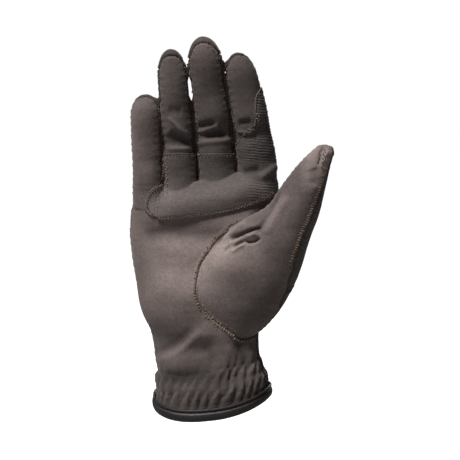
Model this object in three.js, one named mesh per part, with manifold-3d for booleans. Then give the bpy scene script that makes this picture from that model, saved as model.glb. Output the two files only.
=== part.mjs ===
// A right-hand riding glove of thin synthetic suede, shaped as a hand fills it and hollow throughout.
// +Z runs from the cuff to the fingertips, the palm faces -Y and the thumb is on the +X side.
// The origin is the middle of the hand opening, level with the hem at its two sides. Millimetres.

import * as THREE from "three";
import { mergeVertices } from "three/addons/utils/BufferGeometryUtils.js";
import Module from "manifold-3d";

const wasm = await Module();
wasm.setup();

// Cloth
const wall = 1.4; // thickness of every suede panel
const seamGap = 0.3; // gap left between panels that are sewn edge to edge
const patchThickness = 1; // reinforcement laid on the palm
const patchClearance = 0.3; // gap between the palm and the reinforcement
const patchSlot = 1; // width of the cuts between the reinforcement's finger tabs

// Cuff and wrist
const cuffHeight = 34; // opening to the narrowest part of the wrist
const cuffWidth = 74;
const cuffDepth = 52;
const wristWidth = 65.7;
const wristDepth = 44;
const hemFrontDrop = 8; // how far the hem dips on the palm side
const hemBackDrop = 2.5;
const hemSkew = 14; // degrees that its lowest point lies off the middle, towards the little finger's side
const hemSideRise = 2.8; // the thumb side of the hem rides higher
const gatherCount = 20; // gathers round the elastic
const gatherDepth = 1.9;

// Palm
const palmHeight = 101.5; // wrist to the knuckle line
const palmDepth = 34;
const knuckleSlope = 0.2; // the knuckle line climbs towards the index finger
const palmShift = -4.9; // the knuckles sit this far off the middle of the cuff

// Fingers, from the little finger to the index finger
const fingerGap = 0.6; // gap between neighbours at their roots
// ahead: how far the root lies in front of the middle finger's
const fingers = [
  { name: "little", length: 60.2, width: 18.9, depth: 16, ahead: 3 },
  { name: "ring", length: 83.4, width: 20.9, depth: 18, ahead: 0.5 },
  { name: "middle", length: 86.2, width: 23.4, depth: 19, ahead: 0 },
  { name: "index", length: 72, width: 23.6, depth: 19.5, ahead: 0.5 },
];
// Their shapes, in the same order. lean, curl: how far the tip lies to the side and to the front, as shares
// of the length. taper: share of the width lost at the tip. crease: share of the depth pressed in at the
// crease.
const fingerShapes = [
  { lean: -0.01, curl: 0.14, taper: 0.05, crease: 0.05 },
  { lean: -0.068, curl: 0.19, taper: 0.14, crease: 0.22 },
  { lean: -0.11, curl: 0.2, taper: 0.11, crease: 0.24 },
  { lean: -0.175, curl: 0.18, taper: 0.24, crease: 0.2 },
];
fingers.forEach((f, i) => Object.assign(f, fingerShapes[i]));

// Thumb: a straight run from the heel of the palm to its tip
const thumbLength = 125;
const thumbWidth = 30; // across its middle joint
const thumbDepth = 27;
const thumbOut = 27.8; // degrees away from the fingers
const thumbForward = 15; // degrees towards the palm side
// Where the thumb starts, as shares of the knuckle width, of palmDepth and of palmHeight
const thumbRoot = { across: 0.167, ahead: 0.176, up: 0.1655 };

// Binding folded over the hem
const bindingHeight = 6.4;
const bindingWall = 1.3;
const bindingClearance = 0.3;

// Squareness of the sections: 2 is an ellipse, more is squarer
const handFullness = 2.25;
const fingerFullness = 2.2;
const thumbFullness = 2.1;

// Points round one oval section of the outer face, and of the plainer hollow inside it
const handPoints = gatherCount * 2;
const fingerPoints = 12;
const thumbPoints = 20;
const hollowPalmPoints = handPoints / 2;
const hollowFingerPoints = 8;
const hollowThumbPoints = 12;

const knuckleWidth = fingers.reduce((sum, f) => sum + f.width, 0) + fingerGap * (fingers.length - 1);
const knuckleHeight = cuffHeight + palmHeight;
const knuckleLeft = palmShift - knuckleWidth / 2;
const far = 1.5 * palmHeight; // past every face of the glove
const upHand = (up) => cuffHeight + up * palmHeight; // height of a share of palmHeight above the wrist

// Sections of the cuff. up: share of cuffHeight. The four reaches are shares of the cuff's width or depth.
// ripple and pinch: shares of gatherDepth. turn: how far the gathers have leaned, in gathers.
const cuffRows = [
  { up: 0, left: 0.492, right: 0.492, front: 0.5, back: 0.5, ripple: 0, pinch: 0, turn: 0 },
  { up: 0.12, left: 0.492, right: 0.492, front: 0.5, back: 0.5, ripple: 0, pinch: 0, turn: 0 },
  { up: 0.21, left: 0.478, right: 0.484, front: 0.49, back: 0.49, ripple: 0.4, pinch: 0.5, turn: 0.1 },
  { up: 0.35, left: 0.478, right: 0.463, front: 0.48, back: 0.48, ripple: 0.8, pinch: 0, turn: 0.3 },
  { up: 0.49, left: 0.476, right: 0.438, front: 0.46, back: 0.46, ripple: 0.5, pinch: 0.5, turn: 0.5 },
  { up: 0.68, left: 0.486, right: 0.412, front: 0.445, back: 0.445, ripple: 0.45, pinch: 0, turn: 0.5 },
];
// Shares of the wrist's width and depth
const wristRow = { left: 0.562, right: 0.448, front: 0.5, back: 0.5 };

// Sections of the hand. up: share of palmHeight above the wrist. The reaches are shares of the knuckle width
// and of palmDepth, measured from the middle of the cuff.
const palmRows = [
  { up: 0.08, left: 0.432, right: 0.333, front: 0.63, back: 0.63 },
  { up: 0.19, left: 0.477, right: 0.352, front: 0.57, back: 0.595 },
  { up: 0.32, left: 0.517, right: 0.373, front: 0.53, back: 0.56 },
  { up: 0.47, left: 0.545, right: 0.399, front: 0.5, back: 0.53 },
  { up: 0.63, left: 0.567, right: 0.425, front: 0.485, back: 0.49 },
  { up: 0.78, left: 0.576, right: 0.445, front: 0.46, back: 0.42 },
  { up: 0.91, left: 0.565, right: 0.455, front: 0.39, back: 0.34 },
  { up: 1, left: 0.525, right: 0.415, front: 0.23, back: 0.2 },
];

// Folds pressed into the palm side. fromX, toX: shares of the knuckle width. fromUp, toUp: shares of
// palmHeight above the wrist. spread and rise: shares of palmDepth. A fold with rise under 0 is a valley.
const palmFolds = [
  { fromX: -0.4, fromUp: -0.17, toX: -0.06, toUp: 0.07, spread: 0.14, rise: 0.055 },
  { fromX: -0.38, fromUp: -0.27, toX: 0.02, toUp: -0.07, spread: 0.14, rise: -0.045 },
  { fromX: 0.14, fromUp: -0.16, toX: 0.22, toUp: 0.07, spread: 0.13, rise: -0.06 },
  { fromX: -0.42, fromUp: 0.73, toX: 0.3, toUp: 0.81, spread: 0.2, rise: -0.06 },
  { fromX: -0.36, fromUp: 0.87, toX: 0.34, toUp: 0.93, spread: 0.2, rise: 0.04 },
];

// Sections of every finger. along: share of its length. crease: how much of the finger's crease is pressed
// in here. The hollow inside runs straight past the ridges, which are the rows with crease under 0.
const fingerRows = [
  { along: -0.16, crease: 0 },
  { along: 0.08, crease: 0 },
  { along: 0.25, crease: -0.25 },
  { along: 0.33, crease: 1 },
  { along: 0.41, crease: -0.25 },
  { along: 0.6, crease: 0.1 },
  { along: 0.79, crease: 0 },
  { along: 0.89, crease: 0 },
  { along: 0.95, crease: 0 },
  { along: 0.985, crease: 0 },
];

// Sections of the thumb and the mound at its root. along: share of thumbLength. inner, outer: reaches towards
// and away from the palm, as shares of thumbWidth. front, back: shares of thumbDepth. seam: how far out its
// outer seam lies, as a share of outer.
const thumbRows = [
  { along: -0.12, inner: 0.7, outer: 0.25, front: 0.36, back: 0.2, seam: 0.95 },
  { along: -0.04, inner: 1.04, outer: 0.5, front: 0.53, back: 0.3, seam: 0.95 },
  { along: 0.06, inner: 1.18, outer: 0.66, front: 0.6, back: 0.36, seam: 0.94 },
  { along: 0.18, inner: 1.2, outer: 0.735, front: 0.63, back: 0.42, seam: 0.93 },
  { along: 0.3, inner: 1.1, outer: 0.715, front: 0.62, back: 0.45, seam: 0.84 },
  { along: 0.42, inner: 0.93, outer: 0.65, front: 0.58, back: 0.47, seam: 0.76 },
  { along: 0.5, inner: 0.74, outer: 0.57, front: 0.56, back: 0.48, seam: 0.7 },
  { along: 0.585, inner: 0.54, outer: 0.5, front: 0.5, back: 0.47, seam: 0.67 },
  { along: 0.7, inner: 0.49, outer: 0.42, front: 0.44, back: 0.43, seam: 0.7 },
  { along: 0.8, inner: 0.44, outer: 0.315, front: 0.39, back: 0.38, seam: 0.75 },
  { along: 0.89, inner: 0.37, outer: 0.205, front: 0.31, back: 0.31, seam: 0.8 },
  { along: 0.95, inner: 0.28, outer: 0.13, front: 0.23, back: 0.23, seam: 0.8 },
  { along: 0.985, inner: 0.19, outer: 0.09, front: 0.15, back: 0.15, seam: 0.8 },
];
// Share of thumbLength where the back of the thumb is sewn to the back of the hand
const thumbBackRoot = 0.28;
// How far the thumb's inner seam lies behind its middle, as a share of its reach to the back
const thumbInnerSeam = 0.35;

// Colours and finishes
const suede = { color: 0x5f5552, roughness: 0.85, metalness: 0 };
const stretchCloth = { color: 0x4b4340, roughness: 0.9, metalness: 0 };
const ribbedSuede = { color: 0x665d5a, roughness: 0.75, metalness: 0 };
const leather = { color: 0x34302d, roughness: 0.5, metalness: 0 };

// A closed solid through rings of points, bottom to top. A ring may have half the points of the one below it.
function skin(rings) {
  const positions = rings.flat();
  const index = [];
  const starts = rings.map((_, i) => rings.slice(0, i).reduce((sum, r) => sum + r.length, 0));
  for (let i = 0; i + 1 < rings.length; i++) {
    const [low, high] = [rings[i].length, rings[i + 1].length];
    const step = low / high;
    for (let k = 0; k < high; k++) {
      const [b, b2] = [starts[i + 1] + k, starts[i + 1] + ((k + 1) % high)];
      for (let j = 0; j < step; j++) {
        const a = starts[i] + k * step + j;
        const a2 = starts[i] + ((k * step + j + 1) % low);
        index.push(a, a2, j < step / 2 ? b : b2);
        if (j + 1 === Math.ceil(step / 2)) index.push(a2, b2, b);
      }
    }
  }
  const lid = (start, count, flip) => {
    const middle = new THREE.Vector3();
    for (let k = 0; k < count; k++) middle.addScaledVector(positions[start + k], 1 / count);
    const apex = positions.push(middle) - 1;
    for (let k = 0; k < count; k++) {
      const edge = [start + k, start + ((k + 1) % count)];
      index.push(apex, ...(flip ? edge.reverse() : edge));
    }
  };
  lid(starts[0], rings[0].length, true);
  lid(starts.at(-1), rings.at(-1).length, false);
  const geometry = new THREE.BufferGeometry().setFromPoints(positions);
  geometry.setIndex(index);
  return solidOf(geometry);
}

function solidOf(geometry) {
  geometry.deleteAttribute("normal");
  geometry.deleteAttribute("uv");
  const merged = mergeVertices(geometry, 1e-4);
  return new wasm.Manifold(
    new wasm.Mesh({
      numProp: 3,
      vertProperties: merged.attributes.position.array,
      triVerts: new Uint32Array(merged.index.array),
    }),
  );
}

function geometryOf(solid) {
  const mesh = solid.getMesh();
  const geometry = new THREE.BufferGeometry();
  geometry.setAttribute("position", new THREE.BufferAttribute(mesh.vertProperties, 3));
  geometry.setIndex(new THREE.BufferAttribute(mesh.triVerts, 1));
  return geometry;
}

const join = (solids) => solids.reduce((whole, s) => whole.add(s));

// A point of an oval that reaches a different way to each side
function ovalPoint(angle, reach, fullness) {
  const bend = (v) => Math.sign(v) * Math.abs(v) ** (2 / fullness);
  const [c, s] = [Math.cos(angle), Math.sin(angle)];
  const side = c > 0 ? reach.right : reach.left;
  const depth = s > 0 ? reach.back : reach.front;
  return { across: bend(c) * side, behind: bend(s) * depth };
}

// Trunk: cuff, wrist and hand up to the knuckles

const section = (row, z, width, depth) => ({
  z,
  left: row.left * width,
  right: row.right * width,
  front: row.front * depth,
  back: row.back * depth,
  ripple: (row.ripple ?? 0) * gatherDepth,
  pinch: (row.pinch ?? 0) * gatherDepth,
  turn: row.turn ?? cuffRows.at(-1).turn,
});
const handRows = [
  ...cuffRows.map((row) => section(row, row.up * cuffHeight, cuffWidth, cuffDepth)),
  section(wristRow, cuffHeight, wristWidth, wristDepth),
  ...palmRows.map((row) => section(row, upHand(row.up), knuckleWidth, palmDepth)),
];

function foldRise(x, z) {
  const here = new THREE.Vector2(x, z);
  return palmFolds.reduce((sum, f) => {
    const from = new THREE.Vector2(f.fromX * knuckleWidth, upHand(f.fromUp));
    const to = new THREE.Vector2(f.toX * knuckleWidth, upHand(f.toUp));
    const run = to.clone().sub(from);
    const along = THREE.MathUtils.clamp(here.clone().sub(from).dot(run) / run.lengthSq(), 0, 1);
    const away = here.distanceTo(from.addScaledVector(run, along)) / (f.spread * palmDepth);
    return sum + f.rise * palmDepth * Math.exp(-away * away);
  }, 0);
}

const degrees = Math.PI / 180;
const gatherAngle = (2 * Math.PI) / gatherCount;
const dipPower = 1.4; // how narrowly the hem's dip gathers about its lowest point

function trunkRing(row, inset, points = handPoints) {
  const hemShare = Math.max(0, 1 - row.z / cuffHeight);
  const slope = knuckleSlope * Math.max(0, (row.z - cuffHeight) / palmHeight);
  return Array.from({ length: points }, (_, k) => {
    const start = (k / points) * 2 * Math.PI;
    const angle = start + row.turn * gatherAngle;
    const grow = row.ripple * Math.cos(gatherCount * start) - row.pinch - inset;
    const reach = {
      left: row.left + grow,
      right: row.right + grow,
      front: row.front + grow,
      back: row.back + grow,
    };
    const p = ovalPoint(angle, reach, handFullness);
    const facing = Math.max(0, -Math.sin(angle));
    const behind = p.behind - foldRise(p.across, row.z) * facing;
    const turned = Math.sin(angle + hemSkew * degrees);
    const drop = (turned < 0 ? hemFrontDrop : hemBackDrop) * Math.abs(turned) ** dipPower;
    const dip = hemShare * (hemSideRise * Math.cos(angle) - drop);
    return new THREE.Vector3(p.across, behind, row.z + dip + slope * (p.across - palmShift));
  });
}

// The hollow of the trunk runs out past the hem, and the trunk itself stops there.
function trunk(inset) {
  const rings = handRows.map((row, i) => {
    const ring = trunkRing(row, inset, inset > 0 && row.z > cuffHeight ? hollowPalmPoints : handPoints);
    if (i === handRows.length - 1) ring.forEach((p) => (p.z -= inset));
    return ring;
  });
  if (inset > 0) rings.unshift(rings[0].map((p) => p.clone().setZ(p.z - bindingHeight)));
  return skin(rings);
}

// Fingers

const bendPower = 1.3; // a finger leans and curls more towards its tip
const taperPower = 1.2;
const roundFrom = 0.78; // share of a finger's length where its tip starts to round off
const roundPower = 2.5;
const thinShare = 0.7; // a hollow takes at most this share of a narrow tip

const fingerRoots = fingers.map((f, i) => {
  const before = fingers.slice(0, i).reduce((sum, g) => sum + g.width + fingerGap, 0);
  const x = knuckleLeft + before + f.width / 2;
  return new THREE.Vector3(x, 0, knuckleHeight + knuckleSlope * (x - palmShift));
});

function fingerCentre(i, along) {
  const f = fingers[i];
  const up = Math.max(0, along);
  return new THREE.Vector3(
    fingerRoots[i].x + f.lean * f.length * up ** bendPower,
    -f.ahead - f.curl * f.length * up ** bendPower,
    fingerRoots[i].z + f.length * along,
  );
}

// How the finger narrows towards its tip, and rounds off over the last stretch
function fingerSpan(f, along) {
  const body = 1 - f.taper * Math.max(0, along) ** taperPower;
  const past = Math.max(0, (along - roundFrom) / (1 - roundFrom));
  return body * Math.sqrt(Math.max(0, 1 - past ** roundPower));
}

function fingerFrame(i, along) {
  const step = 0.02;
  const up = fingerCentre(i, along + step).sub(fingerCentre(i, along - step)).normalize();
  const right = new THREE.Vector3(0, 1, 0).cross(up).normalize();
  return { centre: fingerCentre(i, along), up, right, back: up.clone().cross(right) };
}

function finger(i, inset) {
  const f = fingers[i];
  const reachShare = 1 - inset / f.length;
  const rows = inset > 0 ? fingerRows.filter((row) => row.crease >= 0) : fingerRows;
  const rings = rows.map((row) => {
    const frame = fingerFrame(i, row.along * reachShare);
    const span = fingerSpan(f, row.along);
    const thin = Math.min(inset, thinShare * (f.depth / 2) * span);
    const half = (f.width / 2) * span - thin;
    const deep = (f.depth / 2) * span;
    const front = deep * (1 - f.crease * row.crease) - thin;
    const reach = { left: half, right: half, front, back: deep - thin };
    const points = inset > 0 ? hollowFingerPoints : fingerPoints;
    return Array.from({ length: points }, (_, k) => {
      const p = ovalPoint((k / points) * 2 * Math.PI, reach, fingerFullness);
      const side = frame.centre.clone().addScaledVector(frame.right, p.across);
      return side.addScaledVector(frame.back, p.behind);
    });
  });
  return skin(rings);
}

// Thumb

const thumbUp = new THREE.Vector3(
  Math.sin(thumbOut * degrees),
  -Math.sin(thumbForward * degrees),
  Math.cos(thumbOut * degrees),
).normalize();
const thumbRight = new THREE.Vector3(0, 1, 0).cross(thumbUp).normalize();
const thumbBack = thumbUp.clone().cross(thumbRight);
const thumbBase = new THREE.Vector3(
  thumbRoot.across * knuckleWidth,
  -thumbRoot.ahead * palmDepth,
  upHand(thumbRoot.up),
);

const thumbPoint = (along, across, behind) =>
  thumbBase
    .clone()
    .addScaledVector(thumbUp, along * thumbLength)
    .addScaledVector(thumbRight, across)
    .addScaledVector(thumbBack, behind);

function thumb(inset) {
  const rings = thumbRows.map((row) => {
    const thin = Math.min(inset, thinShare * row.outer * thumbWidth);
    const reach = {
      left: row.inner * thumbWidth - thin,
      right: row.outer * thumbWidth - thin,
      front: row.front * thumbDepth - thin,
      back: row.back * thumbDepth - thin,
    };
    const along = row.along + (Math.sign(0.2 - row.along) * inset) / thumbLength;
    const points = inset > 0 ? hollowThumbPoints : thumbPoints;
    return Array.from({ length: points }, (_, k) => {
      const p = ovalPoint((k / points) * 2 * Math.PI, reach, thumbFullness);
      return thumbPoint(along, p.across, p.behind);
    });
  });
  return skin(rings);
}

// Everything on the palm side of the thumb's two seams
function thumbFrontZone(shift) {
  const ring = (row, along) => {
    const outer = new THREE.Vector2(row.seam * row.outer * thumbWidth, 0);
    outer.y = -Math.sqrt(1 - row.seam ** 2) * row.front * thumbDepth;
    const inner = new THREE.Vector2(-row.inner * thumbWidth, thumbInnerSeam * row.back * thumbDepth);
    const [out, back] = [outer.setLength(far), inner.setLength(far)];
    return [
      thumbPoint(along, -far, -far),
      thumbPoint(along, far, -far),
      thumbPoint(along, out.x, out.y + shift),
      thumbPoint(along, 0, shift),
      thumbPoint(along, back.x, back.y + shift),
    ];
  };
  const last = thumbRows.at(-1);
  return skin([ring(thumbRows[0], -1), ...thumbRows.map((row) => ring(row, row.along)), ring(last, 2)]);
}

// Everything past the thumb's root seam
function thumbTopZone(shift) {
  const corners = [
    [-far, -far],
    [far, -far],
    [far, far],
    [-far, far],
  ];
  const ring = (along) => corners.map(([across, behind]) => thumbPoint(along, across, behind));
  return skin([ring(thumbBackRoot - shift / thumbLength), ring(2)]);
}

// Seams between the palm, the back and the strips between the fingers

const longest = Math.max(...fingers.map((f) => f.length));
const sideTurned = upHand(0.68); // up to here the thumb's side seam lies towards the palm
const sideStraight = upHand(0.87); // and from here on in the middle
const seamHeights = [
  upHand(-1),
  sideTurned,
  sideStraight,
  upHand(0.97),
  ...[0.12, 0.34, 0.56, 0.78, 1, 1.3].map((share) => knuckleHeight + share * longest),
];
const seamSpread = 0.2; // share of the finger's length over which its two seams draw apart, up to its root
// How far the palm's and the back's seams lie from a finger's middle, as shares of half its depth
const frontSeam = 0.5;
const backSeam = 0.5;
// How far the thumb's side seam turns towards the palm, as a share of palmDepth
const thumbSideSeam = 0.265;
const tipLevel = 0.8; // share of a finger's length from which its seams stop narrowing

// The seam's depth across the hand at height z: the side seams are on the middle plane, and between two
// fingers the seam moves in front of it (sign -1) or behind it (sign 1).
function seamLine(z, sign, shift) {
  const line = [];
  const turned = THREE.MathUtils.clamp((sideStraight - z) / (sideStraight - sideTurned), 0, 1);
  const thumbSide = -thumbSideSeam * palmDepth * turned;
  fingers.forEach((f, i) => {
    const along = THREE.MathUtils.clamp((z - fingerRoots[i].z) / f.length, 0, 1);
    const centre = fingerCentre(i, along);
    const span = fingerSpan(f, Math.min(along, tipLevel));
    const [half, deep] = [(f.width / 2) * span, (f.depth / 2) * span];
    const apart = THREE.MathUtils.clamp(1 + (z - fingerRoots[i].z) / (seamSpread * f.length), 0, 1);
    const inner = sign * apart * (sign < 0 ? frontSeam : backSeam) * deep;
    const last = i === fingers.length - 1;
    const middle = centre.y + f.ahead * (1 - apart) + (last ? thumbSide : 0);
    const leftOut = i === 0 ? 0 : inner;
    const rightOut = last ? 0 : inner;
    // Past its own tip a finger's stretch of the line gives way to its neighbour's
    if (i > 0) line.at(-1)[0] = Math.min(line.at(-1)[0], centre.x - half - seamGap);
    line.push([centre.x - half, middle + leftOut + shift], [centre.x + half, middle + rightOut + shift]);
  });
  return line;
}

function palmSideZone(shift) {
  return skin(
    seamHeights.map((z) => {
      const line = seamLine(z, -1, shift).reverse();
      const outline = [[-far, -far], [far, -far], [far, line[0][1]], ...line, [-far, line.at(-1)[1]]];
      return outline.map(([x, y]) => new THREE.Vector3(x, y, z));
    }),
  );
}

function backSideZone(shift) {
  return skin(
    seamHeights.map((z) => {
      const line = seamLine(z, 1, seamGap - shift);
      const outline = [[-far, line[0][1]], ...line, [far, line.at(-1)[1]], [far, far], [-far, far]];
      return outline.map(([x, y]) => new THREE.Vector3(x, y, z));
    }),
  );
}

// The back of the glove turns over each fingertip, down to an arched seam on the palm side.
const archRoot = 0.87; // share of the finger's length where the arch springs
const archRise = 0.36; // share of the finger's width
const archSteps = 6;

function tipZone(i, arched, shift) {
  const f = fingers[i];
  const frame = fingerFrame(i, archRoot);
  const half = (f.width / 2) * fingerSpan(f, tipLevel);
  const at = (across, up) => {
    const p = frame.centre.clone().addScaledVector(frame.right, across).addScaledVector(frame.up, up);
    return new THREE.Vector2(p.x, p.z);
  };
  const outline = [
    at(-f.width, -shift),
    at(-f.width, f.length / 2),
    at(f.width, f.length / 2),
    at(f.width, -shift),
  ];
  for (let k = 0; arched && k <= archSteps; k++) {
    const angle = (k / archSteps) * Math.PI;
    outline.push(at(half * Math.cos(angle), archRise * f.width * Math.sin(angle) - shift));
  }
  const prism = new THREE.ExtrudeGeometry(new THREE.Shape(outline), { depth: 2 * far, bevelEnabled: false });
  prism.rotateX(Math.PI / 2).translate(0, far, 0);
  return solidOf(prism).intersect(finger(i, -seamGap));
}

// Between the middle lines of two neighbouring fingers
function betweenZone(i) {
  const levels = [-0.2, 0, 0.25, 0.5, 0.75, 1, 1.3];
  return skin(
    levels.map((level) => {
      const z = knuckleHeight + level * fingers[i].length;
      const [left, right] = [i, i + 1].map((k) => {
        const along = THREE.MathUtils.clamp((z - fingerRoots[k].z) / fingers[k].length, 0, 1);
        return fingerCentre(k, along).x;
      });
      return [
        new THREE.Vector3(left, -far, z),
        new THREE.Vector3(right, -far, z),
        new THREE.Vector3(right, far, z),
        new THREE.Vector3(left, far, z),
      ];
    }),
  );
}

// One panel: the largest body of a cut, without the crumbs that facets leave along a seam
function panel(solid) {
  return solid.decompose().reduce((best, s) => (s.volume() > best.volume() ? s : best));
}

// Cut the shell into its panels

const handOuter = (inset) => join([trunk(inset), ...fingers.map((_, i) => finger(i, inset))]);
const shell = join([handOuter(0), thumb(0)]).subtract(join([handOuter(wall), thumb(wall)]));

const thumbGrow = -2 * seamGap; // the thumb's seam lies just outside the crease round its root
const thumbFront = shell.intersect(thumb(thumbGrow).intersect(thumbFrontZone(0)));
let rest = shell.subtract(thumb(thumbGrow - seamGap).intersect(thumbFrontZone(seamGap)));
const thumbBackPanel = rest.intersect(thumb(thumbGrow)).intersect(thumbTopZone(0));
rest = rest.subtract(thumb(thumbGrow - seamGap).intersect(thumbTopZone(seamGap)));

const tips = (shift, arched = true) => join(fingers.map((_, i) => tipZone(i, arched, shift)));
const tipSides = (shift) => tips(shift, false).subtract(palmSideZone(seamGap - shift));
const backZone = (shift) =>
  join([backSideZone(shift), tips(shift), tipSides(shift), thumb(thumbGrow - shift)]);
const palmPanel = rest.intersect(palmSideZone(0)).subtract(join([tips(seamGap), thumb(thumbGrow - seamGap)]));
const backPanel = rest.intersect(backZone(0));
const strips = rest.subtract(join([palmSideZone(seamGap), backZone(seamGap)]));

// Reinforcement on the palm: a sheet over the roots of three fingers that turns down the side of the index
// finger. x: share of the knuckle width from the little finger's side. up: share of palmHeight above the
// wrist.
const patchOutline = [
  { x: 0.165, up: 0.7625 },
  { x: 0.47, up: 0.794 },
  { x: 0.77, up: 0.85 },
  { x: 1.2, up: 0.955 },
  { x: 1.2, up: 1.56 },
  { x: 0.885, up: 1.56 },
  { x: 0.86, up: 1.32 },
  { x: 0.76, up: 1.227 },
  { x: 0.71, up: 1.147 },
  { x: 0.224, up: 1.147 },
  { x: 0.224, up: 0.967 },
  { x: 0.15, up: 0.947 },
  { x: 0.095, up: 0.88 },
  { x: 0.095, up: 0.813 },
  { x: 0.12, up: 0.773 },
];

function reinforcement() {
  const outline = patchOutline.map((p) => new THREE.Vector2(knuckleLeft + p.x * knuckleWidth, upHand(p.up)));
  const prism = new THREE.ExtrudeGeometry(new THREE.Shape(outline), { depth: far, bevelEnabled: false });
  prism.rotateX(Math.PI / 2);
  const slots = fingers.slice(1).map((f, i) => {
    const [slotFoot, slotTop] = [-0.02, 0.3]; // shares of the finger's length
    return skin(
      [slotFoot, (slotFoot + slotTop) / 2, slotTop].map((level) => {
        const right = fingerCentre(i + 1, level);
        const x = right.x - f.width / 2 - fingerGap / 2;
        return [
          new THREE.Vector3(x - patchSlot / 2, -far, right.z),
          new THREE.Vector3(x + patchSlot / 2, -far, right.z),
          new THREE.Vector3(x + patchSlot / 2, far, right.z),
          new THREE.Vector3(x - patchSlot / 2, far, right.z),
        ];
      }),
    );
  });
  const sheet = handOuter(-patchClearance - patchThickness).subtract(handOuter(-patchClearance));
  return sheet
    .intersect(solidOf(prism))
    .intersect(palmSideZone(-seamGap))
    .subtract(join([...slots, thumb(-2 * patchClearance), tips(2 * seamGap)]));
}

// Binding: a folded strip of leather that holds the hem in its channel
function binding() {
  const ring = trunkRing(handRows[0], wall / 2);
  const channel = wall / 2 + bindingClearance;
  const outer = channel + bindingWall;
  const footShare = 0.7; // the fold is narrower than the strip above it
  const fold = [
    [outer, bindingHeight / 2],
    [channel, bindingHeight / 2],
    [channel, -bindingClearance],
    [-channel, -bindingClearance],
    [-channel, bindingHeight / 2],
    [-outer, bindingHeight / 2],
    [-outer * footShare, -bindingHeight / 2],
    [outer * footShare, -bindingHeight / 2],
  ];
  const count = ring.length;
  const positions = [];
  const index = [];
  ring.forEach((p, k) => {
    const along = ring[(k + 1) % count].clone().sub(ring[(k + count - 1) % count]);
    const out = new THREE.Vector3(along.y, -along.x, 0).normalize();
    fold.forEach(([away, up]) => positions.push(p.clone().addScaledVector(out, away).setZ(p.z + up)));
    fold.forEach((_, j) => {
      const next = (j + 1) % fold.length;
      const [a, b] = [k * fold.length + j, k * fold.length + next];
      const [c, d] = [((k + 1) % count) * fold.length + j, ((k + 1) % count) * fold.length + next];
      index.push(a, c, b, b, c, d);
    });
  });
  const geometry = new THREE.BufferGeometry().setFromPoints(positions);
  geometry.setIndex(index);
  return solidOf(geometry);
}

const glove = new THREE.Group();

function addPiece(name, solid, finish) {
  const mesh = new THREE.Mesh(geometryOf(solid), new THREE.MeshStandardMaterial(finish));
  mesh.name = name;
  glove.add(mesh);
}

addPiece("palm_panel", panel(palmPanel), suede);
addPiece("back_panel", panel(backPanel), stretchCloth);
addPiece("thumb_front", panel(thumbFront), suede);
addPiece("thumb_back", panel(thumbBackPanel), stretchCloth);
fingers.slice(1).forEach((f, i) => {
  addPiece(`strip_${fingers[i].name}_${f.name}`, panel(strips.intersect(betweenZone(i))), stretchCloth);
});
addPiece("rein_patch", panel(reinforcement()), ribbedSuede);
addPiece("cuff_binding", binding(), leather);

export default glove;
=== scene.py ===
# A right-hand riding glove: suede palm, stretch back, reinforcement across the palm, gathered cuff, bound hem.
# It stands with its fingers up, palm towards -Y and thumb towards +X. Sizes are in millimetres; the finished
# pieces are in metres. A place seen on the palm is given in photo pixels, 460 to the picture's side.
import math

import bmesh
import bpy
import numpy as np
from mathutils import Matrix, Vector
from mathutils.bvhtree import BVHTree
from mathutils.kdtree import KDTree


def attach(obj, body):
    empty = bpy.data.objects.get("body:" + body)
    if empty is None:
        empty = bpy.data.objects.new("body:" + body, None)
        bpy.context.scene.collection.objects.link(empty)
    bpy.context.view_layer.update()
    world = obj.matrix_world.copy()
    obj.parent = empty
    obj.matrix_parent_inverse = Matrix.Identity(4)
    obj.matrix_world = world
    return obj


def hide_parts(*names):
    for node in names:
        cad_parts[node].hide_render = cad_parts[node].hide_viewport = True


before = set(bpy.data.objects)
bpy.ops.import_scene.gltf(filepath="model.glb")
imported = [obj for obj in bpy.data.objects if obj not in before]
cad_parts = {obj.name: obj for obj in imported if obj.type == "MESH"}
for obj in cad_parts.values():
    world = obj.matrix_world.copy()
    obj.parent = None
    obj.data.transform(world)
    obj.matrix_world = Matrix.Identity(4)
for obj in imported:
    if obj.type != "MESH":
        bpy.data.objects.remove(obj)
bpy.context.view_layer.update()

mm = 0.001
pixel = 0.62  # millimetres to one photo pixel, in the plane through the glove
pixelZero = (212, 400)  # the pixel where x and z are 0

view = {
    "target": (11.2, -8, 105.4),
    "distance": 790,
    "elevation": 6,  # degrees above the glove's middle
    "frameWidth": 285.2,  # what the picture's width takes in at the target
    "sensor": 36,
}
tilt = math.radians(view["elevation"])
target = np.array(view["target"], float)
lookUp = np.array((0, math.sin(tilt), math.cos(tilt)))
lookAhead = np.array((0, math.cos(tilt), -math.sin(tilt)))
eye = target - lookAhead * view["distance"]


def smoothStep(low, high, value):
    share = np.clip((value - low) / (high - low), 0, 1)
    return share * share * (3 - 2 * share)


def smoothCurve(knots, values, at):
    # a cubic through a table's values, for one place or an array of places
    knots, values = np.array(knots, float), np.array(values, float)
    slopes = np.gradient(values, knots)
    at = np.clip(at, knots[0], knots[-1])
    i = np.clip(np.searchsorted(knots, at, "right") - 1, 0, len(knots) - 2)
    step = knots[i + 1] - knots[i]
    t = (at - knots[i]) / step
    near = values[i] * (1 + 2 * t) * (1 - t) ** 2 + slopes[i] * step * t * (1 - t) ** 2
    return near + values[i + 1] * t * t * (3 - 2 * t) + slopes[i + 1] * step * t * t * (t - 1)


def ovalPoint(angle, left, right, front, back, fullness):
    bend = lambda v: math.copysign(abs(v) ** (2 / fullness), v)
    c, s = math.cos(angle), math.sin(angle)
    return bend(c) * (right if c > 0 else left), bend(s) * (back if s > 0 else front)


def ovalRing(count, fullness, *reach):
    # the angle and the place of each point round an oval
    for k in range(count):
        angle = k / count * 2 * math.pi
        yield angle, *ovalPoint(angle, *reach, fullness)


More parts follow.
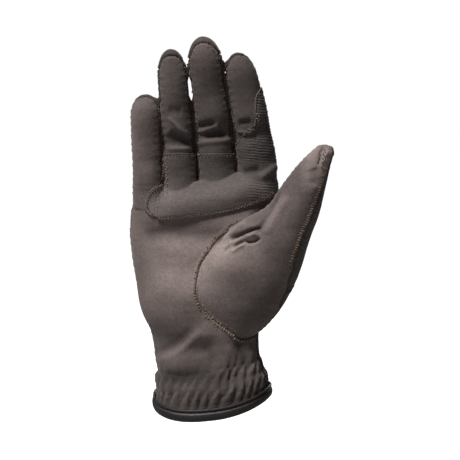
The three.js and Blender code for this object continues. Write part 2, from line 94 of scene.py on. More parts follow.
def placeTree(places):
    tree = KDTree(len(places))
    for number, place in enumerate(places):
        tree.insert(place, number)
    tree.balance()
    return tree


def asMesh(name, bm):
    mesh = bpy.data.meshes.new(name)
    bm.to_mesh(mesh)
    bm.free()
    return mesh


def addMesh(bm, mesh):
    # joins a mesh to the others in bm, and is done with it
    bm.from_mesh(mesh)
    bpy.data.meshes.remove(mesh)


def addObject(name, data):
    made = bpy.data.objects.new(name, data)
    bpy.context.scene.collection.objects.link(made)
    return made


def loft(rings):
    # one closed skin: the end face is extruded from ring to ring
    bm = bmesh.new()
    bmesh.ops.create_circle(bm, cap_ends=True, segments=len(rings[0]), radius=1)
    bm.faces.ensure_lookup_table()
    face = bm.faces[0]
    for vert, place in zip(face.verts, rings[0]):
        vert.co = place
    for ring in rings[1:]:
        made = bmesh.ops.extrude_face_region(bm, geom=[face])
        face = next(item for item in made["geom"] if isinstance(item, bmesh.types.BMFace))
        for vert, place in zip(face.verts, ring):
            vert.co = place
    bmesh.ops.recalc_face_normals(bm, faces=bm.faces)
    return asMesh("loft", bm)


# the filled glove: palm, fingers and thumb are smooth closed skins, joined into one
tuck = 0.7  # the skins are joined this much slimmer, so that neighbouring fingers stay apart

hand = {
    "points": 96,
    "fullness": 2.25,
    "cuffHeight": 34,
    "palmHeight": 101.5,
    "palmDepth": 34,
    "knuckleWidth": 88.6,
    "palmShift": -4.9,
    "knuckleSlope": 0.2,
    "hemFrontDrop": 8,
    "hemBackDrop": 2.5,
    "hemSkew": 14,  # degrees
    "hemSideRise": 2.8,
    "dipPower": 1.4,
    "below": 14,  # the skin runs on past the hem, and is cut off there later
}
handRows = {
    "z": (-14, 0, 4.1, 7.1, 11.9, 16.7, 23.1, 34, 42.1, 53.3, 66.5, 81.7, 97.9, 113.2, 126.4, 135.5),
    "left": (36.4, 36.4, 36.2, 34.8, 35.4, 34.6, 36, 36.9, 38.3, 42.3, 45.8, 48.3, 50.2, 51, 50.1, 46.5),
    "right": (36.4, 36.4, 36.2, 35, 34.3, 31.9, 30.5, 29.4, 29.5, 31.2, 33, 35.4, 37.7, 39.4, 40.3, 36.8),
    "front": (26, 26, 25.6, 24.8, 25, 23.3, 23.1, 22, 21.4, 19.4, 18, 17, 16.5, 15.6, 13.3, 7.8),
    "back": (26, 26, 25.6, 24.8, 25, 23.3, 23.1, 22, 21.4, 20.2, 19, 18, 16.7, 14.3, 11.6, 6.8),
}
# broad folds of the palm, from one end to the other: x, z, x, z, spread, rise
palmFolds = (
    (-35.4, 16.7, -5.3, 41.1, 4.8, 1.9),
    (-33.7, 6.6, 1.8, 26.9, 4.8, -1.5),
    (12.4, 17.8, 19.5, 41.1, 4.4, -2.0),
    (-37.2, 108.1, 26.6, 116.2, 6.8, -2.0),
    (-31.9, 122.3, 30.1, 128.4, 6.8, 1.4),
)
fingerSizes = ("length", "width", "depth", "lean", "curl", "ahead", "taper", "crease")
fingers = [dict(zip(fingerSizes, sizes)) for sizes in (
    (60.2, 18.9, 16, -0.01, 0.14, 3, 0.05, 0.05),  # little
    (83.4, 20.9, 18, -0.068, 0.19, 0.5, 0.14, 0.18),  # ring
    (86.2, 23.4, 19, -0.11, 0.2, 0, 0.11, 0.2),  # middle
    (72, 23.6, 19.5, -0.175, 0.18, 0.5, 0.24, 0.16),  # index
)]
fingerShape = {
    "gap": 0.6,
    "points": 40,
    "fullness": 2.2,
    "bendPower": 1.3,
    "taperPower": 1.2,
    "roundFrom": 0.78,
    "roundPower": 2.5,
    "root": -0.16,  # shares of the length where the finger starts, inside the palm, and ends
    "end": 0.998,
    "rows": 46,
    "creaseAt": (-0.16, 0.08, 0.25, 0.33, 0.41, 0.6, 0.8, 1),
    "creaseIn": (0, 0, -0.2, 1, -0.2, 0.1, 0, 0),
}
thumb = {
    "length": 125,
    "width": 30,
    "depth": 27,
    "out": 27.8,  # degrees away from the fingers
    "forward": 15,
    "base": (14.8, -5.98, 50.8),
    "root": -0.12,  # shares of the length where the rings start and end
    "end": 0.998,
    "points": 56,
    "fullness": 2.1,
    "rows": 60,
}
thumbRows = {
    "along": (-0.12, -0.04, 0.06, 0.18, 0.3, 0.42, 0.5, 0.585, 0.7, 0.8, 0.89, 0.95, 0.985, 1),
    "inner": (0.7, 1.04, 1.18, 1.2, 1.1, 0.93, 0.74, 0.54, 0.49, 0.44, 0.37, 0.28, 0.19, 0.05),
    "outer": (0.25, 0.5, 0.66, 0.735, 0.715, 0.65, 0.57, 0.5, 0.42, 0.315, 0.205, 0.13, 0.09, 0.03),
    "front": (0.36, 0.53, 0.6, 0.63, 0.62, 0.58, 0.56, 0.5, 0.44, 0.39, 0.31, 0.23, 0.15, 0.03),
    "back": (0.2, 0.3, 0.36, 0.42, 0.45, 0.47, 0.48, 0.47, 0.43, 0.38, 0.31, 0.23, 0.15, 0.03),
}


def wristAngle(x, y):
    # where a point lies round the oval wrist
    return np.arctan2(y / handRows["front"][0], x / handRows["left"][0])


def hemDip(angle):
    # how far the hem lies off its level at the two sides
    turned = np.sin(angle + math.radians(hand["hemSkew"]))
    drop = np.where(turned < 0, hand["hemFrontDrop"], hand["hemBackDrop"]) * np.abs(turned) ** hand["dipPower"]
    return hand["hemSideRise"] * np.cos(angle) - drop


def foldRise(x, z):
    total = 0
    for x0, z0, x1, z1, spread, rise in palmFolds:
        run = Vector((x1 - x0, z1 - z0))
        here = Vector((x - x0, z - z0))
        share = min(max(here.dot(run) / run.length_squared, 0), 1)
        total += rise * math.exp(-(((here - run * share).length / spread) ** 2))
    return total


def handRing(z):
    sides = ("left", "right", "front", "back")
    reach = [smoothCurve(handRows["z"], handRows[side], z) - tuck for side in sides]
    hemShare = min(max(0, 1 - z / hand["cuffHeight"]), 1)
    slope = hand["knuckleSlope"] * max(0, (z - hand["cuffHeight"]) / hand["palmHeight"])
    ring = []
    for angle, x, y in ovalRing(hand["points"], hand["fullness"], *reach):
        y -= foldRise(x, z) * max(0, -math.sin(angle))
        ring.append(Vector((x, y, z + hemShare * float(hemDip(angle)) + slope * (x - hand["palmShift"]))))
    return ring


def fingerCentre(i, along):
    f, before = fingers[i], sum(g["width"] + fingerShape["gap"] for g in fingers[:i])
    x = hand["palmShift"] - hand["knuckleWidth"] / 2 + before + f["width"] / 2
    z = hand["cuffHeight"] + hand["palmHeight"] + hand["knuckleSlope"] * (x - hand["palmShift"])
    bend = f["length"] * max(0, along) ** fingerShape["bendPower"]
    return Vector((x + f["lean"] * bend, -f["ahead"] - f["curl"] * bend, z + f["length"] * along))


def fingerSpan(f, along):
    body = 1 - f["taper"] * max(0, along) ** fingerShape["taperPower"]
    past = max(0, (along - fingerShape["roundFrom"]) / (1 - fingerShape["roundFrom"]))
    return body * math.sqrt(max(0, 1 - past ** fingerShape["roundPower"]))


def fingerRings(i):
    f, rings = fingers[i], []
    for row in range(fingerShape["rows"]):
        share = math.sin(row / (fingerShape["rows"] - 1) * math.pi / 2)  # rows crowd towards the tip
        along = fingerShape["root"] + (fingerShape["end"] - fingerShape["root"]) * share
        up = (fingerCentre(i, along + 0.02) - fingerCentre(i, along - 0.02)).normalized()
        right = Vector((0, 1, 0)).cross(up).normalized()
        back = up.cross(right)
        span = fingerSpan(f, along)
        dent = f["crease"] * smoothCurve(fingerShape["creaseAt"], fingerShape["creaseIn"], along)
        half = max(f["width"] / 2 * span - tuck, 0.3 * span + 0.05)
        deep = max(f["depth"] / 2 * span - tuck, 0.3 * span + 0.05)
        front = max(deep - dent * f["depth"] / 2 * span, 0.05)
        oval = ovalRing(fingerShape["points"], fingerShape["fullness"], half, half, front, deep)
        rings.append([fingerCentre(i, along) + right * x + back * y for _, x, y in oval])
    return rings


def thumbAxes():
    out, forward = math.radians(thumb["out"]), math.radians(thumb["forward"])
    up = Vector((math.sin(out), -math.sin(forward), math.cos(out))).normalized()
    right = Vector((0, 1, 0)).cross(up).normalized()
    return up, right, up.cross(right)


def thumbRings():
    up, right, back = thumbAxes()
    rings = []
    for row in range(thumb["rows"]):
        share = math.sin(row / (thumb["rows"] - 1) * math.pi / 2)
        along = thumb["root"] + (thumb["end"] - thumb["root"]) * share
        sizes = [
            max(smoothCurve(thumbRows["along"], thumbRows[side], along) * thumb[size] - tuck, 0.2)
            for side, size in (("inner", "width"), ("outer", "width"), ("front", "depth"), ("back", "depth"))
        ]
        middle = Vector(thumb["base"]) + up * along * thumb["length"]
        oval = ovalRing(thumb["points"], thumb["fullness"], *sizes)
        rings.append([middle + right * x + back * y for _, x, y in oval])
    return rings


skinCare = {
    "root": 110,  # smoothing rounds at the little finger's root
    "roots": ((104, 134, -34), (106, 131, -26)),  # height from and to, and how far right
    "voxel": 0.8,
    "smoothing": 12,
    "fill": 0.15,  # smoothing draws the skin in by this much, and it is given back
}


def joinedSkin():
    bm = bmesh.new()
    heights = np.concatenate([np.arange(-hand["below"], 135, 1.5), [135.5 - tuck]])
    for rings in [[handRing(z) for z in heights]] + [fingerRings(i) for i in range(4)] + [thumbRings()]:
        addMesh(bm, loft(rings))
    skin = addObject("skin", asMesh("skin", bm))
    joiner = skin.modifiers.new("join", "REMESH")
    joiner.mode, joiner.voxel_size, joiner.adaptivity = "VOXEL", skinCare["voxel"], 0
    soften = skin.modifiers.new("soften", "SMOOTH")
    soften.factor, soften.iterations = 0.5, skinCare["smoothing"]
    shape = bpy.data.meshes.new_from_object(skin.evaluated_get(bpy.context.evaluated_depsgraph_get()))
    bpy.data.objects.remove(skin)
    # back to full size, then cut off at the hem, which is level while it is cut
    bm = bmesh.new()
    addMesh(bm, shape)
    bm.normal_update()
    for vert in bm.verts:
        vert.co += vert.normal * (tuck + skinCare["fill"])
    for low, high, right in skinCare["roots"]:
        palmSide = [v for v in bm.verts if v.co.y < 2 and v.normal.y < -0.15]
        root = [v for v in palmSide if v.co.x < right and low < v.co.z < high]
        for _ in range(skinCare["root"]):
            bmesh.ops.smooth_vert(bm, verts=root, factor=0.5, use_axis_y=True)
    low = [v for v in bm.verts if v.co.z < hand["cuffHeight"]]
    levels = {v: float(hemDip(wristAngle(v.co.x, v.co.y))) for v in low}
    for vert, level in levels.items():
        vert.co.z -= level
    everything = bm.verts[:] + bm.edges[:] + bm.faces[:]
    bmesh.ops.bisect_plane(bm, geom=everything, plane_co=(0, 0, 0), plane_no=(0, 0, 1), clear_inner=True)
    for vert in bm.verts:
        if vert.co.z < hand["cuffHeight"] and vert not in levels:
            levels[vert] = float(hemDip(wristAngle(vert.co.x, vert.co.y)))
    for vert, level in levels.items():
        if vert.is_valid:
            vert.co.z += level
    return bm


# the panels that the skin's faces are shared out to, each with its cloth
panelSlots = {
    "palm_panel": "palm_suede",
    "back_panel": "stretch_cloth",
    "thumb_front": "palm_suede",
    "thumb_back": "stretch_cloth",
    "strip_little_ring": "stretch_cloth",
    "strip_ring_middle": "stretch_cloth",
    "strip_middle_index": "stretch_cloth",
}
panelNames = list(panelSlots)


def cadTree(names):
    # the nearest-point tree of some nodes, in millimetres, and the node that owns each face
    points, faces, owner = [], [], []
    for name in names:
        mesh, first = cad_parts[name].data, len(points)
        points += [v.co / mm for v in mesh.vertices]
        faces += [[first + i for i in p.vertices] for p in mesh.polygons]
        owner += [panelNames.index(name)] * len(mesh.polygons)
    return BVHTree.FromPolygons(points, faces), owner


labelDepth = 0.5  # a face looks for its panel from this far under the skin
shortest = 6  # a seam of fewer points is left out


def labelFaces(bm):
    tree, owner = cadTree(panelNames)
    bm.normal_update()
    bm.faces.ensure_lookup_table()
    bm.faces.index_update()
    labels = []
    for face in bm.faces:
        found = tree.find_nearest(face.calc_center_median() - face.normal * labelDepth)
        labels.append(owner[found[2]])
    for _ in range(4):  # a face that stands alone goes to its neighbours' panel
        changed = 0
        for face in bm.faces:
            near = [labels[f.index] for e in face.edges for f in e.link_faces if f is not face]
            own = labels[face.index]
            if near.count(own) <= 1:
                best = max(set(near), key=near.count)
                if best != own and near.count(best) >= 2:
                    labels[face.index] = best
                    changed += 1
        if not changed:
            break
    seen = [False] * len(labels)
    islands = []
    for face in bm.faces:
        if seen[face.index]:
            continue
        seen[face.index] = True
        island, queue = [], [face]
        while queue:
            f = queue.pop()
            island.append(f)
            for e in f.edges:
                for g in e.link_faces:
                    if not seen[g.index] and labels[g.index] == labels[f.index]:
                        seen[g.index] = True
                        queue.append(g)
        islands.append(island)
    islands.sort(key=len)
    biggest = {labels[island[0].index]: island for island in islands}
    for island in islands:  # small islands go to the panel round them
        own = labels[island[0].index]
        if island is biggest[own]:
            continue
        beside = [labels[g.index] for f in island for e in f.edges for g in e.link_faces]
        near = [label for label in beside if label != own]
        if near:
            best = max(set(near), key=near.count)
            for f in island:
                labels[f.index] = best
    return labels


def neighbours(edges):
    # by point: the points that these edges lead to
    links = {}
    for edge in edges:
        for v, w in (edge.verts, reversed(edge.verts)):
            links.setdefault(v, []).append(w)
    return links


def walkLines(edges):
    # the lines of points that these edges make, each from fork to fork or closed
    links = neighbours(edges)
    unused = {frozenset(edge.verts) for edge in edges}
    for start in [v for v in links if len(links[v]) != 2] + list(links):
        for second in links[start]:
            if frozenset((start, second)) not in unused:
                continue
            line, onward = [start], [second]
            while onward:
                unused.discard(frozenset((line[-1], onward[0])))
                line.append(onward[0])
                here = line[-1]
                onward = [w for w in links[here] if len(links[here]) == 2 and frozenset((here, w)) in unused]
            yield line


def seamChains(bm, labels):
    # the seams between panels, each a line of points with the two panels that it joins
    byPair = {}
    for edge in bm.edges:
        if len(edge.link_faces) == 2:
            a, b = sorted(labels[f.index] for f in edge.link_faces)
            if a != b:
                byPair.setdefault((a, b), []).append(edge)
    lines = [(pair, line) for pair, edges in byPair.items() for line in walkLines(edges)]
    return [(pair, [v.index for v in line]) for pair, line in lines if len(line) > shortest]


seamCare = {
    "smoothing": 24,  # rounds that straighten a seam
    "settling": 6,  # rounds that even out the faces beside it
    "reach": 3.2,
}


def straightenSeams(bm, chains):
    surface = BVHTree.FromBMesh(bm)
    bm.verts.ensure_lookup_table()
    places = {i: bm.verts[i].co.copy() for _, chain in chains for i in chain}
    ends = {i for _, chain in chains for i in (chain[0], chain[-1]) if chain[0] != chain[-1]}
    for _ in range(seamCare["smoothing"]):
        moved = {}
        for _, chain in chains:
            closed = chain[0] == chain[-1]
            for k in range(0 if closed else 1, len(chain) - 1):
                before, after = places[chain[k - 1 if k else -2]], places[chain[k + 1]]
                if chain[k] not in ends:
                    moved[chain[k]] = (places[chain[k]] + (before + after) / 2) / 2
        places.update(moved)
    for i, place in places.items():
        bm.verts[i].co = surface.find_nearest(place)[0]
    tree = placeTree(places.values())
    beside = [v for v in bm.verts if v.index not in places and tree.find(v.co)[2] < seamCare["reach"]]
    beside = [v for v in beside if not v.is_boundary]
    for _ in range(seamCare["settling"]):
        new = [sum((e.other_vert(v).co for e in v.link_edges), Vector()) / len(v.link_edges) for v in beside]
        for v, place in zip(beside, new):
            v.co = (v.co + place) / 2
    for v in beside:
        v.co = surface.find_nearest(v.co)[0]


bm = joinedSkin()
bm.verts.index_update()
print("skin:", len(bm.verts), "points,", len(bm.faces), "faces")
labels = labelFaces(bm)
chains = seamChains(bm, labels)
straightenSeams(bm, chains)
print("seams:", [(panelNames[a], panelNames[b], len(chain)) for (a, b), chain in chains])


def photoPlace(points):
    # where the camera sees each point, in photo pixels, and the way from the point to the camera
    away = np.array(points) - eye
    depth = away @ lookAhead
    x = target[0] + away[:, 0] * view["distance"] / depth
    z = target[2] + away @ lookUp * view["distance"] / depth
    toEye = -away / np.linalg.norm(away, axis=1)[:, None]
    return pixelZero[0] + x / pixel, pixelZero[1] - z / pixel, toEye


def lineReach(px, py, line):
    # each point's distance to a line of photo places, in pixels, how far along the line that is, and where
    best, along, done = np.full(len(px), 1e9), np.zeros(len(px)), 0
    spot = np.zeros((len(px), 2))
    total = sum(math.dist(a, b) for a, b in zip(line, line[1:]))
    for (x0, y0), (x1, y1) in zip(line, line[1:]):
        run = math.dist((x0, y0), (x1, y1))
        share = np.clip(((px - x0) * (x1 - x0) + (py - y0) * (y1 - y0)) / run**2, 0, 1)
        place = np.column_stack((x0 + share * (x1 - x0), y0 + share * (y1 - y0)))
        far = np.hypot(px - place[:, 0], py - place[:, 1])
        near = far < best
        best[near], spot[near] = far[near], place[near]
        along[near] = ((done + share * run) / total)[near]
        done += run
    return best, along, spot


# rise in millimetres, half width in pixels, then the fold's line in photo pixels
palmCreases = (
    # wrist
    (1.1, 4.2, (153, 362), (168, 357), (178, 351), (186, 345), (194, 338), (202, 331)),
    (-0.7, 4.5, (150, 354), (166, 349), (180, 341), (192, 330)),
    (-1.2, 4.5, (237, 338), (243, 352), (247, 372)),
    (0.8, 4.0, (228, 345), (234, 358), (238, 374)),
    (-0.6, 5.0, (205, 345), (213, 360), (218, 372)),
    (0.6, 4.5, (250, 350), (254, 372)),
    # ring finger
    (1.1, 2.0, (168, 117), (181, 130), (193, 138)),
    (-2.0, 4.2, (169, 133), (178, 139), (190, 142)),
    (1.2, 2.6, (166, 149), (193, 148)),
    (-0.7, 4.5, (168, 110), (182, 112)),
    # middle finger
    (-1.7, 3.4, (197, 127), (216, 124)),
    (1.1, 1.9, (197, 132), (208, 129), (219, 125)),
    (-1.7, 3.4, (205, 135.5), (227, 133)),
    (1.3, 3.2, (196, 143), (232, 140)),
    # index finger
    (-1.6, 3.4, (238, 124), (252, 122)),
    (1.2, 2.0, (237, 131), (246, 133), (254, 129)),
    (-1.3, 4.6, (243, 173), (261, 170)),
    (1.2, 3.2, (276, 165), (268, 172), (260, 178)),
    # palm, under the patch
    (-0.9, 8.0, (146, 236), (190, 234), (224, 236)),
    # thumb: its near side folds over the palm
    (-2.4, 2.6, (279, 191), (271, 206), (265, 217), (260, 227), (256, 234)),
    (-0.9, 5.0, (268, 202), (260, 214), (252, 224)),
    (1.2, 4.4, (287, 196), (279, 210), (272, 222), (266, 234)),
    # tuck at the thumb's crotch: slit, folds over and under it, lump, its shadow, and lines running out
    (-3.0, 1.8, (229, 238.5), (236, 235.5), (244, 232), (252, 229.5), (260, 227)),
    (1.6, 2.0, (222, 239.5), (231, 233), (239, 227), (247, 221.5)),
    (2.2, 2.8, (245, 237), (251, 235.5), (258, 232)),
    (-2.4, 1.4, (244, 241), (249, 242.3), (255, 241.3), (260, 238)),
    (-1.5, 1.6, (246, 240), (240, 243), (233, 247.5)),
    (1.1, 1.9, (245, 243.5), (238, 247), (231, 253)),
    (0.7, 1.7, (243, 238.5), (236, 241), (228, 243.5)),
    (-0.9, 1.8, (229, 246), (224, 252)),
    # thumb tip: its seam and the hollow under it
    (-1.5, 1.3, (326, 144), (322.8, 148), (320.2, 153), (319.7, 159.4), (317.7, 166)),
    (0.8, 1.6, (329, 150), (325, 156), (323.5, 163)),
    (-1.1, 6.0, (313, 168), (316, 176), (315, 186)),
    (0.5, 4.0, (307, 162), (312, 154), (317, 149)),
)

gathers = {
    # each row of elastic: its level, how much it climbs towards the thumb, gathers around, depth
    "rows": ((12.8, 2.8, 34, 2.2), (21.2, 3.0, 37, 1.8)),
    "lean": 0.085,  # share of a gather that a fold leans for each millimetre
    "waves": ((0.5, 5, 2), (0.3, 13, 1)),  # each row's waver: height, waves around, shift between rows
    "pinch": 0.15,
    "sunk": (0.45, 0.22),  # how much of each row's depth lies below the smooth cloth
    "tuckedIn": (0.9, 4.6, 7.5),  # the cloth goes in behind the binding: depth, and the levels where it fades
    "bare": 4.2,  # the level of the binding's top
    "above": 13,  # how far the upper folds run out into the wrist
    "dent": 0.75,
    "upTo": 50,
}


def gatherRise(co):
    # flame-shaped folds under each row of elastic, and thin dents above the upper row
    angle = wristAngle(co[:, 0], co[:, 1])
    dip = hemDip(angle)
    level = (co[:, 2] - dip) / (1 - dip / hand["cuffHeight"])
    total = np.zeros(len(co))
    bottom = np.full(len(co), gathers["bare"])
    for number, (base, climb, count, depth) in enumerate(gathers["rows"]):
        uneven = sum(high * np.sin(around * angle + number * shift) for high, around, shift in gathers["waves"])
        top = base + climb * np.cos(angle) + uneven
        lean = gathers["lean"] * (0.35 + 0.65 * (0.5 + 0.5 * np.cos(angle)))
        shift = 0.35 * number + 0.18 * np.sin(7 * angle + 2 * number)
        phase = count * angle / (2 * math.pi) - lean * level + shift
        cell = np.floor(phase)
        across = phase - cell - 0.5
        vary = 0.5 + 0.5 * np.sin(cell * 12.9898 + number * 4.1)  # a fixed difference from fold to fold
        tip = top + (vary - 0.5) * 2.4
        down = np.clip((tip - level) / (tip - bottom), 0, 1)
        width = 0.07 + 0.43 * np.clip(down * 1.25, 1e-4, 1) ** 0.8
        bump = np.clip(1 - (across / width) ** 2, 0, 1) ** 0.9
        strength = smoothStep(-0.02, 0.45, down) * (1 - 0.6 * down) * (0.7 + 0.5 * vary)
        inZone = (level < tip) & (level > bottom - 4)
        fade = smoothStep(bottom - 3.5, bottom + 0.5, level) if number == 0 else 1
        total += np.where(inZone, depth * (bump - gathers["sunk"][number]) * strength * fade, 0)
        total -= gathers["pinch"] * np.exp(-(((level - top - 0.6) / 1.1) ** 2))
        if number == 1:
            over = np.clip((level - top) / gathers["above"], 0, 1)
            dents = np.clip(1 - np.abs(across) * 3.2, 0, 1)
            dents *= gathers["dent"] * (1 - over) ** 2 * (0.3 + 0.9 * vary)
            total -= np.where(level > top, dents, 0)
        bottom = top
    depth, low, high = gathers["tuckedIn"]
    total -= depth * (1 - smoothStep(low, high, level))
    total[co[:, 2] > gathers["upTo"]] = 0
    return total


def softNoise(co, size, seed):
    # smooth unevenness of the cloth, from a few crossed waves
    rng = np.random.default_rng(seed)
    total = np.zeros(len(co))
    for _ in range(14):
        way = rng.normal(size=3)
        way /= np.linalg.norm(way)
        total += np.sin(co @ way * (2 * math.pi / (size * rng.uniform(0.7, 1.5))) + rng.uniform(0, 6.28))
    return total / 14**0.5


seamStyles = {
    # groove: how deep the seam draws in, and its half width; lip: the turned edge beside it;
    # pucker: height and length of the small folds
    "plain": {"groove": 0.6, "width": 0.9, "lip": 0.28, "pucker": 0.16, "length": 4.2, "reach": 3.5},
    "oval": {"groove": 0.6, "width": 0.8, "lip": 0.3, "pucker": 0.14, "length": 3.1, "reach": 3.0},
}
lipPlace = {"far": 1.5, "width": 0.7}
unevenness = ((0.25, 26, (1, 1, 1), 3), (0.05, 9, (1, 1, 1.3), 5))  # height, size, stretch and seed
# the fold layer colours the suede: ridges lighter as if rubbed, hollows darker with painted shade
foldScale = 1.2  # a rise of this much is the lightest fold


def seamTree(bm, chains):
    # points along every seam, with the seam's number and the length run so far
    points, facts = [], []
    for number, (_, chain) in enumerate(chains):
        run = 0
        for a, b in zip(chain, chain[1:]):
            start, end = bm.verts[a].co, bm.verts[b].co
            step = (end - start).length
            for share in (0, 0.5):
                points.append(start.lerp(end, share))
                facts.append((number, run + share * step))
            run += step
        points.append(bm.verts[chain[-1]].co.copy())
        facts.append((number, run))
    return placeTree(points), facts


paintedLightSpots = (
    # painted light and shade: lighter where light falls full, on the palm's middle and the thumb, darker where
    # shade falls, on the fingers, heel, wrist and cuff: factor, centre x and z, half width across and up
    (1.65, -17, 84, 24, 18), (1.65, 16, 94, 15, 11), (1.75, 62, 148, 9, 14), (0.72, -26, 40, 18, 12),
    (0.66, 22, 32, 14, 10), (0.52, 0, 9, 60, 18), (0.55, 5, 185, 46, 34), (0.64, 10, 149, 46, 18),
    (0.86, -8, 128, 34, 11), (0.75, 30, 60, 16, 16), (0.72, -12, 15, 26, 5.5),
)
palmForms = (
    # rise mm, centre x and z, half width across and up: the heel's swelling, the wrist, the hollow of the palm
    (4.2, -19, 60, 25, 15),
    (-3.2, -16, 33, 20, 9),
    (-1.6, -10, 103, 30, 7),
)


def addRelief(bm, chains):
    bm.normal_update()
    co = np.array([v.co for v in bm.verts])
    no = np.array([v.normal for v in bm.verts])
    px, py, toEye = photoPlace(co)
    facing = smoothStep(0.02, 0.3, np.einsum("ij,ij->i", no, toEye))
    rise = np.zeros(len(co))
    for height, half, *line in palmCreases:
        far, along, _ = lineReach(px, py, line)
        ends = np.clip(np.minimum(along, 1 - along) * 5, 0, 1) ** 0.5
        rise += height * np.exp(-((far / half) ** 2)) * ends * facing
    forms = np.zeros(len(co))
    for height, x, z, wide, tall in palmForms:
        forms += height * np.exp(-(((co[:, 0] - x) / wide) ** 2) - ((co[:, 2] - z) / tall) ** 2) * facing
    rise += gatherRise(co)
    body = smoothStep(4, 22, co[:, 2])
    rise += body * sum(high * softNoise(co * way, size, seed) for high, size, way, seed in unevenness)
    tree, facts = seamTree(bm, chains)
    grooves, ripple = np.zeros(len(co)), np.zeros(len(co))
    for i, v in enumerate(bm.verts):
        _, index, far = tree.find(v.co)
        number, run = facts[index]
        style = seamStyles["oval" if chains[number][0] == ovalPair else "plain"]
        if far < style["reach"] * 2.5:
            grooves[i] = -style["groove"] * math.exp(-((far / style["width"]) ** 2))
            grooves[i] += style["lip"] * math.exp(-(((far - lipPlace["far"]) / lipPlace["width"]) ** 2))
            wave = math.sin(run / style["length"] * 2 * math.pi + 1.5 * math.sin(run / 9.7))
            fade = math.exp(-((far / style["reach"]) ** 2)) * (1 - math.exp(-((far / 0.8) ** 2)))
            ripple[i] = style["pucker"] * wave * fade
    rise += grooves + ripple
    # painted light and shade: a factor on the colour, lighter where light falls full and darker where shade
    # falls
    paintedLightFactors = np.ones(len(co))
    for factor, x, z, wide, tall in paintedLightSpots:
        paintedLightFactors *= 1 + (factor - 1) * np.exp(-(((co[:, 0] - x) / wide) ** 4) - ((co[:, 2] - z) / tall) ** 4)
    # both layers go into the suede's colour: fold lightens ridges and puts painted shade in hollows, tone
    # carries the painted light and shade
    fold, tone = bm.verts.layers.float.new("fold"), bm.verts.layers.float.new("tone")
    for v, normal, height, form, value in zip(bm.verts, no, rise, forms, paintedLightFactors):
        v.co += Vector(normal) * (height + form)
        v[fold] = min(max(height / foldScale, -1), 1)
        v[tone] = value


fingerGaps = {
    "widest": 3.4,  # neighbours closer than this lean on each other
    "from": (126, 131),  # the height where that sets in
    "sideways": (0.2, 0.5),  # and how far a face has to look to the side
    # the slits that stay open: x, z from, z to, half the slit's width
    "slits": ((-13.4, 184, 201, 0.75), (-14.6, 204.5, 216, 0.6), (8.8, 199, 205, 0.5)),
    "beside": 6,  # a slit opens the sides this near to it
    "ends": 5,  # and closes over this length
}


def pressFingers(bm):
    bm.normal_update()
    surface = BVHTree.FromBMesh(bm)
    swell = {}
    low, high = fingerGaps["from"]
    least, most = fingerGaps["sideways"]
    ends = fingerGaps["ends"]
    for vert in bm.verts:
        if vert.co.z > low and abs(vert.normal.x) > least:
            way = Vector((math.copysign(1, vert.normal.x), 0, 0))
            hit = surface.ray_cast(vert.co + way * 0.02, way, fingerGaps["widest"])
            if hit[0] is None or hit[1].x * way.x > -0.1:
                continue
            gap = hit[3]
            share = float(smoothStep(least, most, abs(vert.normal.x)) * smoothStep(low, high, vert.co.z))
            share *= 1 - float(smoothStep(0.65, 1, gap / fingerGaps["widest"]))
            far = share * (gap / 2 + 0.03)
            for x, foot, top, half in fingerGaps["slits"]:
                if abs(vert.co.x - x) < fingerGaps["beside"]:
                    ajar = smoothStep(foot, foot + ends, vert.co.z)
                    far -= (half + far) * float(ajar * (1 - smoothStep(top - ends, top, vert.co.z)))
            swell[vert] = way * far
    for vert, move in swell.items():
        vert.co += move


ovalPair = tuple(sorted((panelNames.index("palm_panel"), panelNames.index("thumb_front"))))
addRelief(bm, chains)
pressFingers(bm)
bm.normal_update()
print("relief done")


def feed(tree, node, inputs):
    # sets each input to a value, or links it to a socket
    for key, value in inputs.items():
        if isinstance(value, bpy.types.NodeSocket):
            tree.links.new(value, node.inputs[key])
        else:
            node.inputs[key].default_value = value


def addNode(tree, kind, output, inputs, **settings):
    # a new node; gives one of its outputs
    made = tree.nodes.new("ShaderNode" + kind)
    for key, value in settings.items():
        setattr(made, key, value)
    feed(tree, made, inputs)
    return made.outputs[output]


class Paint:
    # a material and the few kinds of node that all of them are made with
    def __init__(self, name, sheen=0.0, coat=0.0, specular=0.5):
        self.made = bpy.data.materials.new(name)
        self.made.use_nodes = True
        self.tree = self.made.node_tree
        self.shader = self.tree.nodes["Principled BSDF"]
        feed(self.tree, self.shader, {
            "Sheen Weight": sheen, "Sheen Roughness": 0.45, "Sheen Tint": (0.95, 0.9, 0.87, 1),
            "Coat Weight": coat, "Coat Roughness": 0.35, "Specular IOR Level": specular,
        })
        self.place = self.add("TexCoord", "Object", {})

    def add(self, kind, output, inputs, **settings):
        return addNode(self.tree, kind, output, inputs, **settings)

    def noise(self, scale, detail):
        return self.add("TexNoise", "Fac", {"Vector": self.place, "Scale": scale, "Detail": detail})

    def ramp(self, source, low, high, fromLow=0.35, fromHigh=0.65):
        return self.add("MapRange", "Result", {
            "Value": source, "From Min": fromLow, "From Max": fromHigh, "To Min": low, "To Max": high,
        })

    def maths(self, kind, a, b):
        return self.add("Math", "Value", {0: a, 1: b}, operation=kind)

    def shade(self, color, factor):
        # a colour made lighter or darker by a factor
        return self.add("VectorMath", "Vector", {"Vector": color, "Scale": factor}, operation="SCALE")

    def mix(self, a, b, factor):
        a, b = ((*value, 1) if isinstance(value, tuple) else value for value in (a, b))
        return self.add("Mix", 2, {"Factor": factor, 6: a, 7: b}, data_type="RGBA")

    def bump(self, height, strength, distance, **under):
        sockets = {"Height": height, "Strength": strength, "Distance": distance, **under}
        return self.add("Bump", "Normal", sockets)

    def attribute(self, name):
        return self.add("Attribute", "Fac", {}, attribute_name=name)

    def finish(self, color, roughness, normal):
        feed(self.tree, self.shader, {"Base Color": color, "Roughness": roughness, "Normal": normal})
        return self.made


